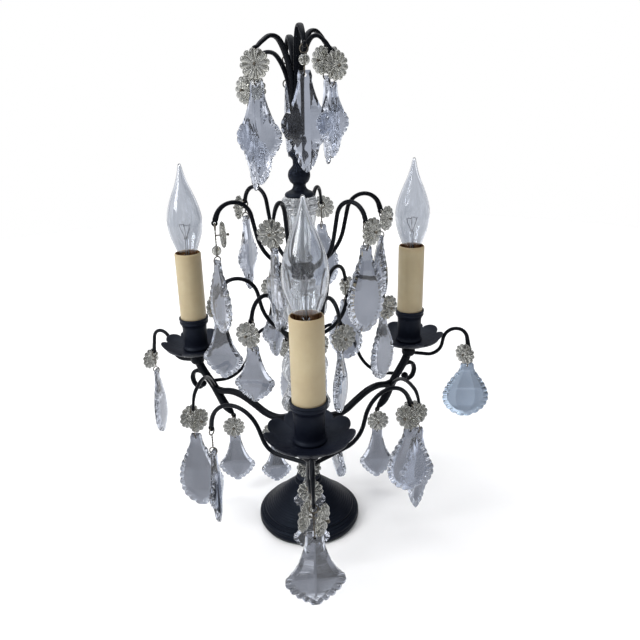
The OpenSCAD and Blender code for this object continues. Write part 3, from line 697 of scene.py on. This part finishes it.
def make_cups():
    out, one = Shape(), Shape()
    prof = spline([(13, 166.4), (13.6, 168), (13, 169.4), (12.2, 171), (11.9, 174), (12, 180), (12.2, 186), (12.4, 190.6), (12.9, 193), (14.2, 195), (14.6, 196.6), (14.2, 198), (14.9, 199.4), (14.7, 201)], 4)
    one.lathe([(4.6, 166.4)] + prof + [(13.9, 201.2), (13.15, 200.8), (13.15, 198), (10.8, 198), (10.8, 196), (4.6, 196)], 72)
    for az in ARMS.values():
        out.put(one, at(az, REACH))
    piece("candle_cups_turned", out, PATINA, replaces="candle_cups")


def make_sleeves():
    out = Shape()
    for i, az in enumerate(ARMS.values()):
        one, luck = Shape(), random.Random(11 + i)
        dents = [(luck.uniform(0, 360), luck.uniform(205, 262), luck.uniform(0.0004, 0.0016), luck.uniform(25, 60)) for _ in range(14)]

        def wave(a, z):
            k = 1.0
            for da, dz, depth, wide in dents:
                d = (((a - da + 180) % 360 - 180) / wide) ** 2 + ((z - dz) / (wide * 0.3)) ** 2
                k -= depth * math.exp(-d)
            return k

        line = [(11.3, 198), (13, 198)] + [(13, 198 + 68 * k / 22) for k in range(1, 23)] + [(12.98, 267.0), (12.85, 267.9), (12.55, 268.5), (12.1, 268.85), (11.7, 268.6)]
        one.lathe(line, 80, wave=wave, closed=False)
        inside = [(11.7, 268.6), (11.4, 267.6), (11.3, 266), (11.3, 250), (11.3, 220), (11.3, 198)]
        one.lathe(inside, 80, mat=1, wave=wave, closed=False)
        out.put(one, at(az, REACH))
    piece("candle_sleeves_waxed", out, [SLEEVE, CARD], replaces="candle_sleeves")


BULB_LINE = [(0.52, -3), (0.57, 1), (0.75, 9), (0.91, 17), (0.985, 24), (1, 29), (0.975, 36), (0.88, 44), (0.73, 52), (0.545, 60), (0.37, 67), (0.235, 74), (0.145, 80), (0.105, 83.4), (0.07, 85.2), (0.0, 86)]


def thin_wire(shape, points, r, mat=0, n=4):
    p = [Vector(q) for q in spline(points, n)]
    path = []
    side = None
    for i, q in enumerate(p):
        t = (p[min(i + 1, len(p) - 1)] - p[max(i - 1, 0)]).normalized()
        if side is None:
            side = t.orthogonal().normalized()
        side = (side - t * side.dot(t)).normalized()
        path.append((q, t, t.cross(side), side))
    shape.sweep(path, lambda i, share: [(r * math.cos(TAU * k / 7), r * math.sin(TAU * k / 7)) for k in range(7)], mat)


def make_bulb(name, az):
    node, m = f"bulb_{name}", at(az, REACH)
    outer = spline([(6.9, 257.4), (7.7, 260)] + [(17 * r, TOP + z) for r, z in BULB_LINE], 5)
    outer = [(max(r, 0.0), z) for r, z in outer]
    inner = []
    for i, (r, z) in enumerate(outer[:-9]):
        inner.append((max(r - ramp([(258, 0.7), (300, 0.5), (340, 0.9)], z), 0.0), z))
    inner = [q for q in inner if q[0] > 0.6] + [(0.0, inner[-1][1] + 0.8)]
    s = Shape()
    s.lathe(inner[::-1] + outer, 64, closed=False)
    piece(f"{node}_glass", s, BULB, node, node, m)
    # glass mount with its flare and pinch
    s = Shape()
    s.lathe([(0, 258)] + spline([(5.4, 258), (4.9, 260), (3.2, 264), (2.3, 267.5), (2.0, 271), (2.1, 277), (2.6, 281), (2.2, 283.4), (1.0, 284.4)], 4) + [(0, 284.6)], 28, closed=False)
    piece(f"{node}_mount", s, BULB, node, matrix=m)
    # leads, supports and coiled filament
    s = Shape()
    for g in (-1, 1):
        thin_wire(s, [(0.9 * g, 0, 258), (0.9 * g, 0, 271), (1.1 * g, 0, 282), (2.6 * g, 0.3, 287), (5.4 * g, 0.6, 292), (6.6 * g, 0.4, 296.5)], 0.3)
    thin_wire(s, [(0, 0, 282), (0, 0.4, 288), (0.1, 0.9, 294), (0, 1.6, 297.4)], 0.25)
    thin_wire(s, [(0, 0, 282), (-1.4, -1.2, 288), (-3.0, -2.0, 293), (-3.4, -1.5, 296.4)], 0.22)
    thin_wire(s, [(0, 0, 282), (1.4, -1.2, 288), (3.0, -2.0, 293), (3.4, -1.5, 296.4)], 0.22)
    coil = []
    for k in range(0, 121):
        t = k / 120
        x = mix(-6.6, 6.6, t)
        y = 1.6 * math.sin(math.pi * t) ** 2 - 2.4 * math.sin(TAU * 2 * t) ** 2 * 0.35
        coil.append((x, y + 0.38 * cos(360 * 20 * t), 296.4 + 0.6 * math.sin(TAU * t * 2) + 0.38 * sin(360 * 20 * t)))
    thin_wire(s, coil, 0.16, n=1)
    piece(f"{node}_filament", s, FILAMENT, node, matrix=m)
    # screw cap
    s = Shape()
    prof = [(5.2, 229.5)]
    for k in range(61):
        z = 231 + 21 * k / 60
        prof.append((6.2 + 0.42 * math.cos(TAU * (z - 231) / 3.0), z))
    prof += [(6.65, 253), (6.7, 256), (6.7, 257.2), (5.9, 257.6), (5.9, 254), (5.4, 252), (4.8, 231)]
    s.lathe(prof, 48)
    s.lathe([(0, 226.4), (1.6, 226.5), (2.3, 227.2), (2.3, 227.8), (0, 227.8)], 28, closed=False)
    s.lathe([(2.1, 227.3), (4.2, 228.2), (5.4, 229.8), (5.2, 231), (2.1, 230.4)], 36, mat=1)
    piece(f"{node}_cap", s, [BRASS, INSULATOR], node, matrix=m)


# ------------------------------------------------------------------ hanging crystals

# half outlines: share of half width, share of length, and how far the run to the next point bows out
OUTLINES = {
    "kite": [(0.22, 0, 0), (0.28, 0.05, 0), (0.27, 0.1, 0), (0.33, 0.17, 0), (0.43, 0.25, 0), (0.55, 0.325, 0), (0.71, 0.395, 0.08), (0.87, 0.455, 0.13), (0.95, 0.53, 0.14), (0.86, 0.61, 0.14), (0.68, 0.672, 0.1), (0.53, 0.725, 0.02), (0.45, 0.8, 0.06), (0.36, 0.875, 0.06), (0.22, 0.945, 0.06), (0, 1, 0)],
    "bell": [(0.22, 0, 0), (0.29, 0.04, 0), (0.29, 0.12, 0), (0.34, 0.2, 0), (0.42, 0.3, 0), (0.53, 0.41, 0), (0.69, 0.51, 0), (0.86, 0.58, 0.1), (0.97, 0.645, 0.17), (0.84, 0.735, 0.19), (0.66, 0.815, 0.19), (0.45, 0.88, 0.19), (0.23, 0.935, 0.18), (0, 0.985, 0)],
    "pear": [(0.2, 0, 0), (0.27, 0.035, 0), (0.28, 0.1, 0), (0.37, 0.175, 0.1), (0.52, 0.265, 0.14), (0.67, 0.35, 0.15), (0.8, 0.435, 0.16), (0.885, 0.525, 0.16), (0.925, 0.62, 0.16), (0.905, 0.715, 0.16), (0.81, 0.8, 0.16), (0.63, 0.875, 0.16), (0.36, 0.94, 0.15), (0, 0.985, 0)],
}
HEIGHTS = {
    "kite": ([(0, 1.9), (0.12, 2.1), (0.32, 3.0), (0.66, 3.0), (0.8, 2.7), (1, 1.9)], [(0, 1.8), (0.12, 1.8), (0.4, 2.1), (0.66, 2.1), (1, 1.5)]),
    "bell": ([(0, 1.8), (0.15, 1.8), (0.57, 3.3), (0.6, 3.3), (1, 2.4)], [(0, 1.7), (0.15, 1.7), (0.57, 3.0), (0.6, 3.0), (1, 2.2)]),
    "pear": ([(0, 1.8), (0.15, 1.8), (0.45, 3.2), (0.48, 3.3), (0.8, 3.2), (1, 2.7)], [(0, 1.7), (0.15, 1.7), (0.45, 2.9), (0.48, 3.1), (0.8, 3.0), (1, 2.5)]),
}


def plaque(l, w, kind, luck, ridge=False):
    """Cut crystal: a scalloped edge, a bevel in flutes and a raised middle on both faces. Hangs from z 0, faces X."""
    nodes = OUTLINES[kind]
    half = w / 2
    pts = []  # outline (u, v), edge half thickness, inner (u, v)
    jolt = lambda k: luck.uniform(-k, k)
    moved = []
    for i, (x, y, b) in enumerate(nodes):
        if 0 < i < len(nodes) - 1:
            x, y = x * (1 + jolt(0.012)), y + jolt(0.004)
        moved.append((x, y, b))

    def inner(x, y, b):
        k = 0.27 if ridge else 0.21 if b > 0.1 else 0.2
        return (x * (1 - k), mix(y, 0.55, 0.14 if y > 0.5 else 0.07))

    for i in range(len(moved) - 1):
        (x0, y0, b), (x1, y1, b1) = moved[i], moved[i + 1]
        a, c = inner(x0, y0, b), inner(x1, y1, b1)
        steps = 5 if b > 0.05 else 2
        du, dv = (x1 - x0) * half, (y1 - y0) * l
        for k in range(steps):
            t = k / steps
            bow = b * 4 * t * (1 - t)
            u, v = x0 * half + du * t + bow * dv, y0 * l + dv * t - bow * du
            thick = 1.15 if b <= 0.05 else mix(0.55, 1.25, math.sin(math.pi * t) ** 0.7)
            pts.append((u, v, thick, mix(a[0], c[0], t) * half, mix(a[1], c[1], t) * l))
    tip = inner(*moved[-1])
    pts.append((0.0, moved[-1][1] * l, 1.0, 0.0, tip[1] * l))
    spine, side = HEIGHTS[kind]
    s = Shape()
    strip = 0.06 if ridge else {"kite": 0.17, "bell": 0.5, "pear": 0.55}[kind]

    def column(p, g, back):
        u, v, thick, iu, iv = p
        hi, lo = ramp(spine, iv / l), ramp(side, iv / l) - (ramp([(0.2, 0), (0.4, 1.5)], iv / l) if ridge else 0)
        su = min(strip * half, iu * 0.8) if kind == "kite" else iu * strip
        return [(back * thick, g * u, -v), (back * lo, g * iu, -iv), (back * hi, g * su, -iv)]

    n = len(pts)
    for back in (1, -1):
        for g in (1, -1):
            s.grid([column(p, g, back) for p in pts], smooth=False)
        s.grid([[column(p, 1, back)[2], column(p, -1, back)[2]] for p in pts], smooth=False)
        base = len(s.v)
        a, b = column(pts[0], 1, back), column(pts[0], -1, back)
        s.v.extend(Vector(q) for q in a + b[::-1])
        s.face(range(base, base + 6), smooth=False)
    for g in (1, -1):
        s.grid([[(p[2], g * p[0], -p[1]), (-p[2], g * p[0], -p[1])] for p in pts], smooth=False)
    base = len(s.v)
    e = pts[0]
    s.v.extend(Vector(q) for q in ((e[2], e[0], 0), (e[2], -e[0], 0), (-e[2], -e[0], 0), (-e[2], e[0], 0)))
    s.face(range(base, base + 4), smooth=False)
    return s


def rosette():
    """Twelve petals with deep grooves between them, round a pierced boss. Faces X."""
    s, turns = Shape(), 120
    shares = [0, 0.07, 0.14, 0.2, 0.25, 0.33, 0.45, 0.58, 0.72, 0.84, 0.92, 0.97, 1.0]

    def place(a, q, side):
        c = abs(cos(6 * a))
        edge = 11.5 * (0.83 + 0.17 * math.sqrt(c))
        r = mix(0.95, edge, q)
        boss = ramp([(0, 2.7), (0.07, 2.95), (0.14, 2.7), (0.2, 2.1), (0.25, 1.7)], q)
        leaf = ramp([(0.2, 1.9), (0.33, 2.2), (0.58, 2.15), (0.84, 1.75), (0.95, 1.15), (1, 0.35)], q)
        leaf *= mix(1.0, 0.28 + 0.72 * c**0.5, min(1.0, max(0.0, (q - 0.16) / 0.14)))
        h = mix(boss, leaf, min(1.0, max(0.0, (q - 0.17) / 0.08)))
        return (side * h, r * cos(a), r * sin(a))

    rows = [[place(360 * k / turns, q, 1) for k in range(turns)] for q in shares]
    rows += [[place(360 * k / turns, q, -1) for k in range(turns)] for q in shares[::-1]]
    s.grid(rows, across=True, along=True)
    return s


# plaque length and width, its turn, sides with rosettes, their turn, outline, extra wire, level of rosettes, place of a bead
DROPS = {
    "crown_drop_1": (74, 38, -25, [1, -1], 0, "kite", 0, 10.5, 0),
    "crown_drop_2": (62, 38, 75, [-1], 75, "kite", 0, 10.5, 0),
    "crown_drop_3": (72, 40, 45, [1, -1], 63, "kite", 0, 10.5, 0),
    "crown_drop_4": (80, 42, 20, [1], 45, "kite", 0, 10.5, 0),
    "crown_drop_5": (78, 41, -14, [], 0, "kite", -4, 10.5, 11),
    "crown_drop_6": (60, 34, -40, [1], -40, "kite", 0, 10.5, 0),
    "upper_drop_1": (62, 36, 0, [1], -50, "pear", 0, 6.5, 0),
    "upper_drop_2": (66, 36, 0, [1], 0, "pear", 0, 6.5, 0),
    "upper_drop_3": (74, 36, 20, [1], 35, "kite", -8, 6.5, 0),
    "upper_drop_4": (68, 34, 25, [-1], 0, "pear", 10, 10.5, 24),
    "upper_drop_5": (70, 36, -48, [1], 0, "kite", -4, 6.5, 0),
    "upper_drop_6": (76, 38, -14, [1], 0, "pear", -4, 6.5, 0),
    "lower_drop_1": (64, 36, -36, [1], -45, "pear", -6, 6.5, 0),
    "lower_drop_2": (66, 38, 10, [1], 0, "pear", 0, 10.5, 0),
    "lower_drop_3": (64, 36, 20, [1], 0, "kite", 0, 10.5, 0),
    "lower_drop_4": (62, 43, 75, [1], -20, "bell", 0, 10.5, 0),
    "lower_drop_5": (53, 36, 25, [1], 10, "bell", 0, 10.5, 0),
    "lower_drop_6": (60, 34, 45, [1], 0, "pear", 0, 10.5, 0),
    "tip_drop_front": (66, 46, 4, [1, -1], 65, "bell", 0, 10.5, 0),
    "tip_drop_right": (65, 52, 85, [-1], 45, "pear", -4.5, 6, 0),
    "tip_drop_left": (79, 36, 26, [1], 0, "pear", 0, 10.5, 0),
    "side_drop_front_a": (67, 42, 65, [1, -1], 20, "pear", 0, 10.5, 0),
    "side_drop_front_b": (76, 34, 19, [], 0, "kite", 0, 10.5, 0),
    "side_drop_right_a": (74, 36, 0, [1, -1], 0, "pear", -4, 8.5, 0),
    "side_drop_right_b": (91, 35, 0, [-1], 0, "kite", 0, 10.5, 0),
    "side_drop_left_a": (80, 41, 0, [1, -1], 55, "pear", 4, 10.5, 0),
    "side_drop_left_b": (74, 36, 0, [1, -1], 0, "pear", -4, 8.5, 0),
    "leaf_drop_front": (48, 33, 0, [-1], 0, "bell", 0, 10.5, 0),
    "leaf_drop_right": (62, 38, 60, [-1], 60, "bell", 0, 10.5, 0),
    "leaf_drop_left": (58, 40, -60, [-1], -60, "bell", 0, 10.5, 0),
    "bar_drop_front": (42, 31, 0, [1], 0, "bell", 0, 10.5, 0),
    "bar_drop_right": (42, 31, -10, [1], 0, "bell", 0, 10.5, 0),
    "bar_drop_left": (44, 32, -60, [1], -35, "bell", 0, 10.5, 0),
}
ONE_ROSETTE = rosette()


def make_drop(node, l, w, yaw, sides, face, kind, gap, low_z, bead):
    j = next(j for j in frame["joints"] if j["child"] == node)
    az = math.degrees(math.atan2(j["axis"][0], -j["axis"][1]))
    m = Matrix.Translation(Vector(j["pos_m"]) / MM) @ Matrix.Rotation(D(az), 4, "Z")
    luck = random.Random(node)
    # plaque, drilled for its wire
    turn = Matrix.Translation((0, 0, -22.4 - gap)) @ Matrix.Rotation(D(yaw), 4, "Z")
    o = piece(node + "_plaque", plaque(l, w, kind, luck, node == "tip_drop_front"), CRYSTAL_BLUE if node == "tip_drop_right" else CRYSTAL, node, node, m @ turn, None)
    hole = Shape()
    hole.grid([[m @ turn @ Vector((x, 1.5 * math.cos(TAU * k / 20), -3.6 + 1.5 * math.sin(TAU * k / 20))) for k in range(20)] for x in (-5, 5)], across=True)
    hole.face(range(20))
    hole.face(range(20, 40))
    cut(o, hole)
    # wire: ring through the hook's eye, twisted shank, ring through the plaque
    s = Shape()
    s.ring((0, 0, -3.2), 0, 3.2, 0.6)
    s.ring((0, 0, -22.6 - gap), yaw + 90, 3.4, 0.55)
    low, high = -19.3 - gap, -6.1
    for g in (0, 180):
        line = []
        for k in range(0, 41):
            z = mix(high, low, k / 40)
            a = g + 360 * (high - z) / 5.2
            line.append((0.36 * cos(a), 0.36 * sin(a), z))
        thin_wire(s, line, 0.36, n=1)
    for g in sides:
        d = Vector((cos(face) * g, sin(face) * g, 0))
        thin_wire(s, [Vector((0, 0, -low_z)) + d * k for k in (0.2, 4, 8, 10.6)], 0.62, n=2)
        s.ball(Vector((0, 0, -low_z)) + d * 10.8, 1.3, turns=16)
    piece(node + "_wire", s, PIN_WIRE, node, matrix=m)
    if sides:
        s = Shape()
        for g in sides:
            s.put(ONE_ROSETTE, Matrix.Translation((0, 0, -low_z)) @ Matrix.Rotation(D(face), 4, "Z") @ Matrix.Translation((g * 6.4, 0, 0)) @ Matrix.Rotation(D(luck.uniform(0, 30)), 4, "X"))
        piece(node + "_rosettes", s, ROSETTE, node, matrix=m, sharp=None)
    if bead:
        s = Shape()
        s.lathe([(0.95, -4.0 - bead)] + [(r, z - bead) for r, z in spline([(1.4, -4.15), (2.8, -3.35), (3.9, -1.9), (4.35, 0), (3.9, 1.9), (2.8, 3.35), (1.4, 4.15)], 3)] + [(0.95, 4.0 - bead)], 40, wave=lambda a, z: 1 - 0.05 * (1 - abs(cos(4 * a))))
        piece(node + "_bead", s, ROSETTE, node, matrix=m)


# ------------------------------------------------------------------ the object

make_foot()
make_stem()
make_rings()
make_glass_stem()
make_crown()
for name, az in ARMS.items():
    make_arm(name, az)
make_pans()
make_cups()
make_sleeves()
for name, az in ARMS.items():
    make_bulb(name, az)
for node, facts in DROPS.items():
    make_drop(node, *facts)
finish_node("arm_hub", PATINA)
finish_node("lamp_sockets", SOCKET)
for node in ("foot_nut", "stem_rod", "arm_screws"):
    finish_node(node, STEEL)
finish_node("felt_pad", FELT)

# ------------------------------------------------------------------ floor, light and camera


def make_floor():
    me = bpy.data.meshes.new("floor")
    rings, turns, size = 12, 72, 1.6
    v = [(size * (i + 1) / rings * math.cos(TAU * k / turns), size * (i + 1) / rings * math.sin(TAU * k / turns), 0) for i in range(rings) for k in range(turns)] + [(0, 0, 0)]
    f = [(i * turns + k, (i + 1) * turns + k, (i + 1) * turns + (k + 1) % turns, i * turns + (k + 1) % turns) for i in range(rings - 1) for k in range(turns)]
    f += [(rings * turns, k, (k + 1) % turns) for k in range(turns)]
    me.from_pydata(v, [], f)
    m, t, b, at_ = shader("pale_floor")
    c = colours(t, noise(t, at_, 3, 2), (0.3, (0.90, 0.90, 0.90)), (0.7, (0.93, 0.93, 0.93)))
    t.links.new(c, b.inputs["Base Color"])
    b.inputs["Roughness"].default_value = 0.9
    b.inputs["Specular IOR Level"].default_value = 0.1
    # painted light: the floor glows, more strongly away from the table's middle, so the sweep fades to white
    far = t.nodes.new("ShaderNodeVectorMath")
    far.operation = "LENGTH"
    t.links.new(at_, far.inputs[0])
    b.inputs["Emission Color"].default_value = (1, 1, 1, 1)
    t.links.new(between(t, far.outputs["Value"], 0.0, 0.3, 0.5, 1.3), b.inputs["Emission Strength"])
    me.materials.append(m)
    o = bpy.data.objects.new("floor", me)
    bpy.context.scene.collection.objects.link(o)
    o.visible_transmission = False


def make_world():
    w = bpy.data.worlds.new("studio")
    bpy.context.scene.world = w
    w.use_nodes = True
    t = w.node_tree
    t.nodes.clear()
    out = t.nodes.new("ShaderNodeOutputWorld")
    seen, lit = t.nodes.new("ShaderNodeBackground"), t.nodes.new("ShaderNodeBackground")
    path, join = t.nodes.new("ShaderNodeLightPath"), t.nodes.new("ShaderNodeMixShader")
    coord, part = t.nodes.new("ShaderNodeTexCoord"), t.nodes.new("ShaderNodeSeparateXYZ")
    t.links.new(coord.outputs["Generated"], part.inputs[0])
    # flags and cards round the table, brighter overhead
    patch = noise(t, coord.outputs["Generated"], 2.7, 1.5, 0.5)
    cards = colours(t, patch, (0.34, (0.20, 0.20, 0.22)), (0.45, (0.46, 0.47, 0.50)), (0.55, (0.64, 0.65, 0.68)), (0.66, (0.98, 0.98, 1.01)))
    fall = colours(t, between(t, part.outputs[2], 0.0, 1.0, -0.75, 0.05), (0.0, (0.34, 0.34, 0.35)), (0.3, (0.72, 0.72, 0.73)), (0.7, (1.06, 1.06, 1.06)), (1.0, (1.12, 1.12, 1.12)))
    cards = times(t, cards, fall)
    # an even backdrop behind the table
    fine = noise(t, coord.outputs["Generated"], 7, 2, 0.5)
    plain = times(t, fall, colours(t, fine, (0.36, (0.32, 0.333, 0.365)), (0.64, (0.50, 0.513, 0.552))))
    half = colours(t, between(t, part.outputs[0], 0.0, 1.0, -0.14, 0.14), (0.4, (0.4, 0.4, 0.41)), (0.6, (1.12, 1.12, 1.14)))
    plain = blend(t, between(t, part.outputs[2], 1.0, 0.0, -0.67, -0.6), plain, times(t, plain, half))
    sky = blend(t, between(t, part.outputs[2], 0.0, 0.7, 0.1, 0.9), cards, (0.95, 0.95, 0.97))
    across = colours(t, between(t, part.outputs[0], 0.0, 1.0, -0.8, 0.8), (0.0, (1.14, 1.14, 1.14)), (1.0, (0.31, 0.308, 0.302)))
    sky = times(t, sky, across)
    # bright and dark cards beside it, for the cut edges of the glass
    spread = noise(t, coord.outputs["Generated"], 3.6, 2, 0.55)
    sides = colours(t, spread, (0.36, (0.08, 0.08, 0.09)), (0.43, (0.42, 0.43, 0.46)), (0.52, (0.86, 0.87, 0.9)), (0.62, (1.5, 1.5, 1.54)))
    wide = t.nodes.new("ShaderNodeMath")
    wide.operation = "ABSOLUTE"
    t.links.new(part.outputs[0], wide.inputs[0])
    apart = t.nodes.new("ShaderNodeMath")
    apart.operation = "MAXIMUM"
    t.links.new(between(t, wide.outputs[0], 0.0, 1.0, 0.24, 0.4), apart.inputs[0])
    t.links.new(between(t, part.outputs[1], 1.0, 0.0, 0.4, 0.62), apart.inputs[1])
    through = blend(t, apart.outputs[0], plain, sides)
    through = blend(t, between(t, part.outputs[2], 0.0, 0.8, 0.08, 0.4), through, (1.0, 1.0, 1.03))
    t.links.new(blend(t, path.outputs["Is Transmission Ray"], sky, through), lit.inputs["Color"])
    lit.inputs["Strength"].default_value = 1.0
    seen.inputs["Color"].default_value = (1, 1, 1, 1)
    seen.inputs["Strength"].default_value = 1.0
    t.links.new(path.outputs["Is Camera Ray"], join.inputs[0])
    t.links.new(lit.outputs[0], join.inputs[1])
    t.links.new(seen.outputs[0], join.inputs[2])
    t.links.new(join.outputs[0], out.inputs[0])


def softbox(name, where, size, power):
    d = bpy.data.lights.new(name, "AREA")
    d.shape, d.size, d.size_y, d.energy = "RECTANGLE", size[0], size[1], power
    o = bpy.data.objects.new(name, d)
    bpy.context.scene.collection.objects.link(o)
    o.location = where
    o.rotation_euler = (Vector((0, 0, 0.2)) - Vector(where)).to_track_quat("-Z", "Y").to_euler()


def make_camera():
    turn, tilt, roll = D(-4.54), D(20.49), D(-1.23)
    ahead = Vector((math.sin(turn) * math.cos(tilt), math.cos(turn) * math.cos(tilt), -math.sin(tilt)))
    side = Vector((math.cos(turn), -math.sin(turn), 0))
    up = side.cross(ahead)
    r, u = math.cos(roll) * side + math.sin(roll) * up, -math.sin(roll) * side + math.cos(roll) * up
    m = Matrix((r, u, -ahead)).transposed().to_4x4()
    m.translation = Vector((0.0596, -0.5575, 0.4261))
    d = bpy.data.cameras.new("camera")
    d.sensor_width, d.lens = 36, 36.14
    d.clip_start, d.clip_end = 0.01, 50
    o = bpy.data.objects.new("camera", d)
    bpy.context.scene.collection.objects.link(o)
    o.matrix_world = Matrix.Rotation(D(-7), 4, "Z") @ m
    bpy.context.scene.camera = o


make_floor()
make_world()
softbox("key", (-1.6, -0.9, 1.4), (1.0, 1.2), 28)
softbox("fill", (1.6, -0.9, 1.1), (0.9, 1.3), 1)
softbox("top", (0.0, 0.4, 2.2), (2.4, 2.4), 40)
make_camera()
bpy.context.scene.view_settings.view_transform = "Standard"
